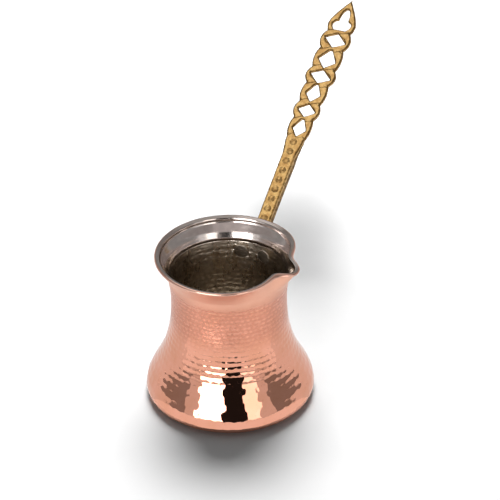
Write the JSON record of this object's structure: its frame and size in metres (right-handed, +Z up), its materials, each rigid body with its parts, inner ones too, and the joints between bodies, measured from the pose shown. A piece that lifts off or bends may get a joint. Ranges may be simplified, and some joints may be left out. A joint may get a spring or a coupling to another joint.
{
  "type": "cezve",
  "caption": "Hammered copper coffee pot with a round belly, narrow neck, flared tinned rim with a pinched pouring beak, and a long rising cast brass openwork handle riveted to the neck.",
  "frame": {"origin": "centre of the flat base, on the surface that the pot stands on", "axes": "+Z up; +X towards the handle; the pouring beak is on the right of the handle, at -88.5 degrees from +X seen from above"},
  "size_m": [0.213, 0.0962, 0.1746],
  "materials": {
    "hammered_copper": "polished hammered copper, satin on the neck and bright on the belly",
    "wiped_tin": "wiped tin: bright on the flared rim, dull and hammered inside",
    "cast_brass": "sand-cast brass, satin, with darker patina in the recesses",
    "tinned_rivet": "tinned copper rivet, hammered flat inside and domed outside"
  },
  "bodies": {
    "root": {"copper_body": "hammered_copper", "tin_lining": "wiped_tin", "handle": "cast_brass", "rivet_left": "tinned_rivet", "rivet_right": "tinned_rivet"}
  },
  "joints": []
}
